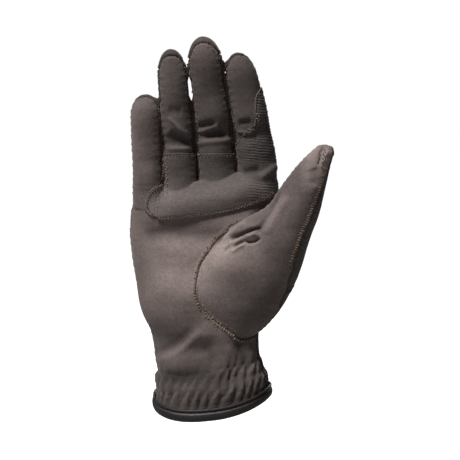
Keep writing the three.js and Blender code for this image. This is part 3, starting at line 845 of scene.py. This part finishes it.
looks = {
    # each cloth's darkest, middle and lightest colour
    "palm_suede": ((0.080, 0.060, 0.054), (0.112, 0.087, 0.080), (0.142, 0.114, 0.106)),
    "stretch_cloth": ((0.038, 0.03, 0.027), (0.055, 0.044, 0.040), (0.070, 0.057, 0.052)),
    "ribbed_suede": ((0.076, 0.06, 0.055), (0.108, 0.088, 0.082), (0.136, 0.112, 0.105)),
    "binding_leather": ((0.008, 0.0065, 0.006), (0.013, 0.0105, 0.0098), (0.020, 0.0165, 0.015)),
    "thread": ((0.13, 0.075, 0.047), (0.195, 0.122, 0.081), (0.26, 0.17, 0.115)),
    "dark_thread": ((0.05, 0.024, 0.017), (0.09, 0.045, 0.031), (0.13, 0.065, 0.045)),
}


def napMaterial(name, sheen, ribs=False):
    # suede: a fine nap with lighter and darker strokes, rubbed lighter on the ridges of the folds, with painted
    # shade in their hollows and the painted light and shade of the tone layer
    dark, middle, light = looks[name]
    m = Paint(name, sheen=sheen, specular=0.25)
    strokes, speckle, grain = m.noise(70, 4), m.noise(900, 2), m.noise(2600, 2)
    color = m.mix(dark, light, m.ramp(strokes, 0, 1, 0.3, 0.7))
    color = m.mix(color, middle, m.ramp(speckle, 0.35, 0.75))
    # painted shade in the folds' hollows and rubbed lighter ridges, times the painted light and shade of the
    # tone layer
    wearAndPaintedLight = m.maths("MULTIPLY", m.ramp(m.attribute("fold"), 0.66, 1.3, -1, 1), m.attribute("tone"))
    nap = m.maths("MULTIPLY", m.ramp(grain, 0.86, 1.14), m.ramp(m.noise(520, 3), 0.9, 1.1))
    color = m.shade(color, m.maths("MULTIPLY", nap, wearAndPaintedLight))
    height = m.maths("ADD", m.maths("MULTIPLY", grain, 0.6), speckle)
    normal = m.bump(height, 0.5, 0.0003)
    if ribs:
        pitch = 0.0014
        wave = m.add("TexWave", "Fac", {
            "Vector": m.place, "Scale": 2 * math.pi / pitch / 20, "Distortion": 3.2, "Detail Scale": 0.4,
        }, bands_direction="Z")
        normal = m.bump(m.maths("MULTIPLY", wave, m.attribute("rib")), 0.35, 0.00025, Normal=normal)
    return m.finish(color, m.ramp(speckle, 0.72, 0.92), normal)


def leatherMaterial(name):
    dark, middle, light = looks[name]
    m = Paint(name, coat=0.05, specular=0.28)
    cloud, pores = m.noise(120, 3), m.noise(1800, 3)
    color = m.mix(dark, light, m.ramp(cloud, 0, 1))
    color = m.mix(color, middle, m.ramp(pores, 0.4, 0.8))
    return m.finish(color, m.ramp(pores, 0.42, 0.6), m.bump(pores, 0.25, 0.0002))


def threadMaterial(name):
    dark, _, light = looks[name]
    m = Paint(name, sheen=0.1, specular=0.4)
    tone, twist = m.noise(160, 2), m.noise(3000, 1)
    color = m.mix(dark, light, m.ramp(tone, 0, 1))
    return m.finish(color, m.ramp(twist, 0.5, 0.7), m.bump(twist, 0.3, 0.0001))


paints = {
    "palm_suede": napMaterial("palm_suede", 0.12),
    "stretch_cloth": napMaterial("stretch_cloth", 0.08),
    "ribbed_suede": napMaterial("ribbed_suede", 0.12, ribs=True),
    "binding_leather": leatherMaterial("binding_leather"),
    "thread": threadMaterial("thread"),
    "dark_thread": threadMaterial("dark_thread"),
}


def addPiece(name, piece, slot, replaced=None):
    for v in piece.verts:
        v.co *= mm
    for f in piece.faces:
        f.smooth = True
    made = addObject(name, asMesh(name, piece))
    made.data.materials.append(paints[slot])
    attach(made, "root")
    if replaced:
        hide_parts(replaced)
    return made


def addWall(made, thickness, outward):
    wall = made.modifiers.new("wall", "SOLIDIFY")
    wall.thickness, wall.offset = thickness * mm, 1 if outward else -1
    wall.use_rim = True


panelWall = 1.1
# each panel's cut in metres, width, length and area: how it lay on the cutting table
panelCuts = {
    "palm_panel": (0.125, 0.24, 0.0179),
    "back_panel": (0.15, 0.24, 0.0232),
    "thumb_front": (0.075, 0.125, 0.006),
    "thumb_back": (0.065, 0.095, 0.0039),
    "strip_little_ring": (0.022, 0.075, 0.0012),
    "strip_ring_middle": (0.024, 0.078, 0.0016),
    "strip_middle_index": (0.024, 0.075, 0.0015),
}


def addPanel(name):
    piece = bm.copy()
    piece.faces.ensure_lookup_table()
    own = panelNames.index(name)
    bmesh.ops.delete(piece, geom=[f for f in piece.faces if labels[f.index] != own], context="FACES")
    panel = addPiece(name + "_cloth", piece, panelSlots[name], name)
    addWall(panel, panelWall, False)
    width, length, area = panelCuts[name]


for name in panelNames:
    addPanel(name)
print("panels done")

patch = {
    "lift": 0.15,  # clear of the palm
    "thickness": 0.95,
    "seam": 1.3,  # the stitch row, in from the edge
    "groove": 0.3,
    "grooveWidth": 0.55,
    "ribPitch": 1.7,
    "ribHeight": 0.14,
    "bounds": (140, 78, 222),  # the least x, and y from and to, in photo pixels
    "reach": 1.6,  # an edge point this close to the outline, in pixels, goes onto it
    "rounds": (2, 6, 3),  # of fitting the edge, of smoothing it in each, and of smoothing the inside
    # the edge in photo pixels; past the glove's outline at the index finger's side
    "outline": (
        (276.6, 194.5), (259.6, 202.5), (242.7, 208), (225.7, 212.3), (202.5, 216), (180, 218.6),
        (160.5, 219.7), (153.4, 217.7), (148, 212.3), (144.5, 207), (145.4, 200), (148, 193.6), (151.6, 189),
        (155, 186.4), (160.5, 184.6), (164, 183), (164, 153.4), (234, 153.4), (236, 146), (240, 138),
        (247, 130), (254.6, 124), (254.7, 100), (256, 94), (261, 86.5), (264, 80), (300, 80), (300, 185),
    ),
}


def inOutline(x, y, outline):
    inside = False
    for (x0, y0), (x1, y1) in zip(outline, outline[1:] + outline[:1]):
        if (y0 > y) != (y1 > y) and x < (x1 - x0) * (y - y0) / (y1 - y0) + x0:
            inside = not inside
    return inside


def rimLoop(bm):
    # the longest open edge of a sheet as a ring of points; it may touch itself
    links = neighbours(e for e in bm.edges if e.is_boundary)
    loops, used = [], set()
    for start in links:
        loop, onward = [], [start]
        while onward and onward[0] not in used:
            loop.append(onward[0])
            used.add(onward[0])
            onward = [w for w in links[loop[-1]] if w not in used]
        loops.append(loop)
    return max(loops, key=len)


def makePatch():
    piece = bm.copy()
    piece.faces.ensure_lookup_table()
    px, py, _ = photoPlace([f.calc_center_median() for f in piece.faces])
    own = panelNames.index("palm_panel")
    outline = list(patch["outline"])
    left, low, high = patch["bounds"]
    keep = [
        labels[f.index] == own and low < y < high and x > left and inOutline(x, y, outline)
        for f, x, y in zip(piece.faces, px, py)
    ]
    bmesh.ops.delete(piece, geom=[f for f in piece.faces if not keep[f.index]], context="FACES")
    surface = BVHTree.FromBMesh(piece)
    fits, edgeRounds, innerRounds = patch["rounds"]
    for _ in range(fits):
        loop = rimLoop(piece)
        for _ in range(edgeRounds):
            new = [(a.co + b.co) / 2 for a, b in zip(loop[-1:] + loop[:-1], loop[1:] + loop[:1])]
            for v, place in zip(loop, new):
                v.co = (v.co + place) / 2
        px, py, _ = photoPlace([v.co for v in loop])
        reach, _, spots = lineReach(px, py, outline + outline[:1])
        for v, x, y, far, spot in zip(loop, px, py, reach, spots):
            if far < patch["reach"]:
                v.co += Vector(((spot[0] - x) * pixel, 0, (y - spot[1]) * pixel))
    inner = [v for v in piece.verts if not v.is_boundary]
    for _ in range(innerRounds):
        bmesh.ops.smooth_vert(piece, verts=inner, factor=0.5, use_axis_x=True, use_axis_y=True, use_axis_z=True)
    for v in piece.verts:
        v.co = surface.find_nearest(v.co)[0]
    bmesh.ops.subdivide_edges(piece, edges=piece.edges[:], cuts=1, use_grid_fill=True, smooth=0)
    piece.normal_update()
    tree = placeTree([v.co for v in rimLoop(piece)])
    rise = []
    for v in piece.verts:
        far = tree.find(v.co)[2]
        groove = math.exp(-(((far - patch["seam"]) / patch["grooveWidth"]) ** 2))
        rise.append(patch["lift"] - patch["groove"] * groove)
    # the ribs show at the index finger's side
    px, py, _ = photoPlace([v.co for v in piece.verts])
    ribs = smoothStep(240, 250, px) * (1 - smoothStep(158, 165, py))
    ribs += 0.8 * smoothStep(244, 252, px) * smoothStep(180, 184, py)
    rib = piece.verts.layers.float.new("rib")
    for v, height, share in zip(piece.verts, rise, 0.1 + 0.9 * ribs):
        place = v.co.z + 0.12 * v.co.x + 0.14 * math.sin(v.co.x * 0.9)
        wave = math.sin(place / patch["ribPitch"] * 2 * math.pi)
        v.co += v.normal * (height + patch["ribHeight"] * share * wave)
        v[rib] = share
    return piece


patchPiece = addPiece("rein_patch_suede", makePatch(), "ribbed_suede", "rein_patch")
addWall(patchPiece, patch["thickness"], True)
print("patch done")

binding = {
    "stations": 220,
    "reach": (35.7, 35.7, 25.3, 25.3),  # the hem's oval to the left, right, front and back
    # the folded strip's section: outwards from the hem, and up
    "section": (
        (0.7, -0.6), (0.7, 1.6), (0.7, 4.0), (1.0, 4.6), (1.5, 4.65), (1.9, 4.3), (1.95, 3.5), (1.65, 2.95),
        (1.2, 2.6), (1.3, 2.25), (1.9, 2.0), (2.3, 1.4), (2.5, 0.2), (2.35, -1.4), (1.8, -2.6), (0.8, -3.2),
        (-0.8, -3.2), (-1.7, -2.6), (-2.1, -1.4), (-2.1, 0), (-2.0, 1.8), (-1.7, 3.2), (-1.2, 3.6), (-0.7, 3.3),
        (-0.7, 1.6), (-0.7, -0.6),
    ),
}


def makeBinding():
    # the section is drawn round the hem, ring by ring, and its ends are bridged
    stations, section = binding["stations"], binding["section"]
    oval = ovalRing(stations, hand["fullness"], *binding["reach"])
    line = [Vector((x, y, float(hemDip(angle)))) for angle, x, y in oval]
    rings = []
    for k, place in enumerate(line):
        along = line[(k + 1) % stations] - line[k - 1]
        out = Vector((along.y, -along.x, 0)).normalized()
        rings.append([place + out * away + Vector((0, 0, up)) for away, up in section])
    piece = bmesh.new()
    bmesh.ops.create_circle(piece, cap_ends=False, segments=len(section), radius=1)
    piece.verts.ensure_lookup_table()
    first = piece.verts[:]
    for vert, place in zip(first, rings[0]):
        vert.co = place
    firstEdges = edges = piece.edges[:]
    row = first
    for ring in rings[1:]:
        made = bmesh.ops.extrude_edge_only(piece, edges=edges)["geom"]
        fresh = {v for v in made if isinstance(v, bmesh.types.BMVert)}
        row = [next(e.other_vert(v) for e in v.link_edges if e.other_vert(v) in fresh) for v in row]
        for vert, place in zip(row, ring):
            vert.co = place
        edges = [e for e in made if isinstance(e, bmesh.types.BMEdge) and all(v in fresh for v in e.verts)]
    bmesh.ops.bridge_loops(piece, edges=edges + firstEdges)
    bmesh.ops.recalc_face_normals(piece, faces=piece.faces)
    return piece


bindingPiece = addPiece("cuff_binding_leather", makeBinding(), "binding_leather", "cuff_binding")
print("binding done")

# stitches: beside the panels' seams, and along lines of photo places
seamRows = {
    # by the pair of panels: the panel that the row lies on, how far in from the seam, pitch, half length, width
    # and height, whether the stitches lie across, thread, and the heights that the row runs between
    ("palm_panel", "thumb_front"): (
        ("palm_panel", 1.75, 1.72, (0.92, 0.3, 0.38), True, "thread", (0, 200)),
        ("thumb_front", 1.5, 1.6, (0.5, 0.36, 0.4), False, "thread", (97, 200)),
        ("palm_panel", 2.4, 1.7, (0.5, 0.36, 0.4), False, "dark_thread", (92, 200)),
        ("thumb_front", 1.1, 2.0, (1.0, 0.24, 0.34), False, "thread", (46, 72)),
    ),
    ("thumb_front", "thumb_back"): (
        ("thumb_front", 2.3, 1.5, (1.2, 0.27, 0.4), True, "thread", (84, 146)),
    ),
}
for panel, other, inset, size, low in (
    ("palm_panel", "back_panel", 1.3, (0.6, 0.36, 0.22), 20),
    ("thumb_back", "back_panel", 1.2, (0.6, 0.36, 0.4), 20),
    ("thumb_front", "back_panel", 1.2, (0.6, 0.36, 0.4), 20),
    *[(side, strip, 1.1, (0.58, 0.36, 0.4), 100) for side in panelNames[:2] for strip in panelNames[4:]],
):
    seamRows[panel, other] = ((panel, inset, 1.9, size, False, "dark_thread", (low, 240)),)
# the thumb back's seams are stitched only at x over start + slope * z
thumbOuter = {"start": 12, "slope": 0.35}
stitchCast = {"over": 2.5, "deep": 4, "before": 9, "through": 30}  # where a stitch looks for the cloth, in mm
photoRows = (
    # thread, pitch mm, half sizes, zigzag half width mm, places
    ("dark_thread", 1.9, (0.52, 0.42, 0.5), 0, (
        (274, 193.3), (259, 200.3), (242.3, 205.8), (225.3, 210.1), (202, 213.8), (180, 216.4), (161, 217.4),
        (154.6, 215.6), (150, 211), (146.9, 206.4), (147.6, 200.6), (149.8, 195), (153, 191), (156.2, 188.6),
        (161, 186.8),
    )),
    ("dark_thread", 1.9, (0.5, 0.38, 0.48), 0, ((166, 155.6), (197, 155.6))),
    ("dark_thread", 1.9, (0.5, 0.38, 0.48), 0, ((201, 155.6), (232, 155.6))),
    ("thread", 1.7, (0.62, 0.34, 0.4), 0.25, ((162.6, 158), (162.4, 176), (163.2, 195))),
    ("thread", 1.7, (0.62, 0.34, 0.4), 0.25, ((166.8, 157), (166.8, 176), (167.4, 194))),
    ("thread", 0.5, (0.75, 0.3, 0.3), 0.3, ((198.4, 153.2), (198.6, 155.4))),
    ("dark_thread", 1.7, (0.55, 0.28, 0.26), 0.7, ((199, 159), (198.2, 170), (199.2, 179))),
    ("thread", 1.25, (0.75, 0.26, 0.26), 0.75, ((235.3, 154), (237.2, 166), (236.4, 175))),
    ("thread", 1.2, (0.6, 0.24, 0.24), 0.5, ((257.6, 113), (257.8, 122))),
    ("thread", 1.2, (0.6, 0.24, 0.24), 0.4, ((260, 92.4), (259.4, 96))),
    ("dark_thread", 1.3, (0.6, 0.3, 0.36), 0.35, ((325.5, 149), (324, 155), (323.4, 161), (322, 168))),
)


def templateStitch():
    grain = bmesh.new()
    bmesh.ops.create_uvsphere(grain, u_segments=6, v_segments=4, radius=1)
    shape = np.array([v.co for v in grain.verts])[:, (2, 0, 1)]  # the poles lie along the stitch
    faces = [[v.index for v in f.verts] for f in grain.faces]
    grain.free()
    return shape, faces


def evenly(points, pitch):
    # places along a line at an even pitch, with the line's direction at each
    points = np.array(points, float)
    steps = np.linalg.norm(np.diff(points, axis=0), axis=1)
    run = np.concatenate([[0], np.cumsum(steps)])
    count = max(int(run[-1] / pitch), 1)
    at = (np.arange(count) + 0.5) * run[-1] / count
    on = lambda where: np.column_stack([np.interp(where, run, points[:, k]) for k in range(3)])
    return on(at), on(at + pitch * 0.6) - on(at - pitch * 0.6)


def photoPoint(x, y, tree):
    # where the line of sight through a photo place meets the glove
    place = target + lookUp * ((pixelZero[1] - y) * pixel - target[2])
    place[0] = (x - pixelZero[0]) * pixel
    return tree.ray_cast(Vector(eye), Vector(place - eye).normalized())[0]


def makeStitches():
    top = bm.copy()  # the glove with the patch on it
    lifted = bmesh.new()
    lifted.from_mesh(patchPiece.data)
    lifted.normal_update()
    for v in lifted.verts:
        v.co = v.co / mm + v.normal * patch["thickness"]
    addMesh(top, asMesh("patchTop", lifted))
    tree, skinTree = BVHTree.FromBMesh(top), BVHTree.FromBMesh(bm)
    top.free()
    sewn = {"thread": [], "dark_thread": []}

    def sew(thread, place, along, normal, size, across):
        along = (along - normal * along.dot(normal)).normalized()
        side = normal.cross(along)
        if across:
            along, side = side, -along
        sewn[thread].append((place + normal * size[2] * 0.6, along, side, normal, size))

    for pair, chain in chains:
        names = (panelNames[pair[0]], panelNames[pair[1]])
        rows = seamRows.get(names) or seamRows.get(names[::-1], ())
        points = [bm.verts[i].co for i in chain]
        for panel, inset, pitch, size, across, thread, (low, high) in rows:
            places, ways = evenly(points, pitch)
            own, votes, made = panelNames.index(panel), 0, []
            for place, way in zip(places, ways):
                place, way = Vector(place), Vector(way).normalized()
                _, normal, _, _ = skinTree.find_nearest(place)
                side = normal.cross(way).normalized()
                face = skinTree.find_nearest(place + side * inset)[2]
                votes += 1 if labels[face] == own else -1
                made.append((place, way, side))
            turn = 1 if votes >= 0 else -1
            for place, way, side in made:
                spot, normal, face, _ = skinTree.find_nearest(place + side * turn * inset)
                if labels[face] != own or not low < spot.z < high:
                    continue
                if "thumb_back" in names and spot.x < thumbOuter["start"] + thumbOuter["slope"] * spot.z:
                    continue
                hit = tree.ray_cast(spot + normal * stitchCast["over"], -normal, stitchCast["deep"])
                if hit[0] is not None:
                    sew(thread, hit[0], way, hit[1], size, across)
    ahead = Vector((0, 1, 0))
    for thread, pitch, size, zigzag, line in photoRows:
        points = [photoPoint(x, y, tree) for x, y in line]
        places, ways = evenly(points, pitch)
        for number, (place, way) in enumerate(zip(places, ways)):
            place, way = Vector(place), Vector(way).normalized()
            side = (-ahead).cross(way).normalized()
            swing = 1 if number % 2 else -1
            place += side * zigzag * swing
            hit = tree.ray_cast(place - ahead * stitchCast["before"], ahead, stitchCast["through"])
            if hit[0] is not None:
                sew(thread, hit[0], way + side * (1.2 * zigzag * swing), hit[1], size, False)
    return sewn


def addStitches(thread, sewn):
    shape, faces = templateStitch()
    spots = np.array([s[0] for s in sewn])
    axes = [np.array([s[k] for s in sewn]) for k in (1, 2, 3)]
    sizes = np.array([s[4] for s in sewn])
    verts = spots[:, None, :] + sum(
        shape[None, :, k, None] * (sizes[:, k, None, None] * axes[k][:, None, :]) for k in range(3)
    )
    mesh = bpy.data.meshes.new(thread)
    count = len(shape)
    joined = [[i + n * count for i in face] for n in range(len(sewn)) for face in faces]
    mesh.from_pydata(verts.reshape(-1, 3).tolist(), [], joined)
    piece = bmesh.new()
    addMesh(piece, mesh)
    bmesh.ops.recalc_face_normals(piece, faces=piece.faces)
    addPiece("stitches_" + thread, piece, thread)


sewn = makeStitches()
for thread, rows in sewn.items():
    addStitches(thread, rows)
    print("stitches", thread, len(rows))


def addCamera():
    data = bpy.data.cameras.new("camera")
    data.sensor_width = view["sensor"]
    data.lens = view["sensor"] * view["distance"] / view["frameWidth"]
    camera = addObject("camera", data)
    camera.location = eye * mm
    camera.rotation_euler = Vector(lookAhead).to_track_quat("-Z", "Y").to_euler()
    bpy.context.scene.camera = camera


# name, place in metres, size in metres, power in watts; every light looks at the glove's middle
lights = (
    ("key", (-0.46, -0.55, 1.32), 0.35, 35),
    ("fill", (-0.3, -1.3, 0.25), 0.9, 1.2),
    ("rim", (-0.95, 0.25, 0.35), 0.5, 0.8),
    ("back", (0.3, 1.2, 0.8), 0.9, 12),
)
lightAim = (0.01, 0, 0.11)
floor = {"level": -0.15, "size": 14, "color": (0.3, 0.3, 0.3, 1)}
white = (1, 1, 1, 1)
roomLight = 0.07  # how brightly the white room lights the glove


def toCamera(tree, low, high):
    # the high value for what is looked at directly, and the low one for the light that it gives
    seen = addNode(tree, "LightPath", "Is Camera Ray", {})
    return addNode(tree, "MapRange", "Result", {"Value": seen, "To Min": low, "To Max": high})


def addStudio():
    for name, place, size, power in lights:
        data = bpy.data.lights.new(name, "AREA")
        data.shape, data.size, data.energy = "DISK", size, power
        lamp = addObject(name, data)
        lamp.location = place
        lamp.rotation_euler = (Vector(lightAim) - Vector(place)).to_track_quat("-Z", "Y").to_euler()
    world = bpy.data.worlds.new("studio")
    world.use_nodes = True
    tree = world.node_tree
    feed(tree, tree.nodes["Background"], {"Color": white, "Strength": toCamera(tree, roomLight, 1)})
    bpy.context.scene.world = world
    bpy.context.scene.view_settings.view_transform = "Standard"
    bm = bmesh.new()
    bmesh.ops.create_grid(bm, x_segments=1, y_segments=1, size=floor["size"] / 2)
    bmesh.ops.translate(bm, verts=bm.verts, vec=(0, 0, floor["level"]))
    ground = addObject("floor", asMesh("floor", bm))
    paint = bpy.data.materials.new("floorWhite")
    paint.use_nodes = True
    tree = paint.node_tree
    feed(tree, tree.nodes["Principled BSDF"], {
        "Base Color": floor["color"], "Roughness": 1, "Emission Color": white,
        "Emission Strength": toCamera(tree, 0, 1),
    })
    ground.data.materials.append(paint)


addCamera()
addStudio()
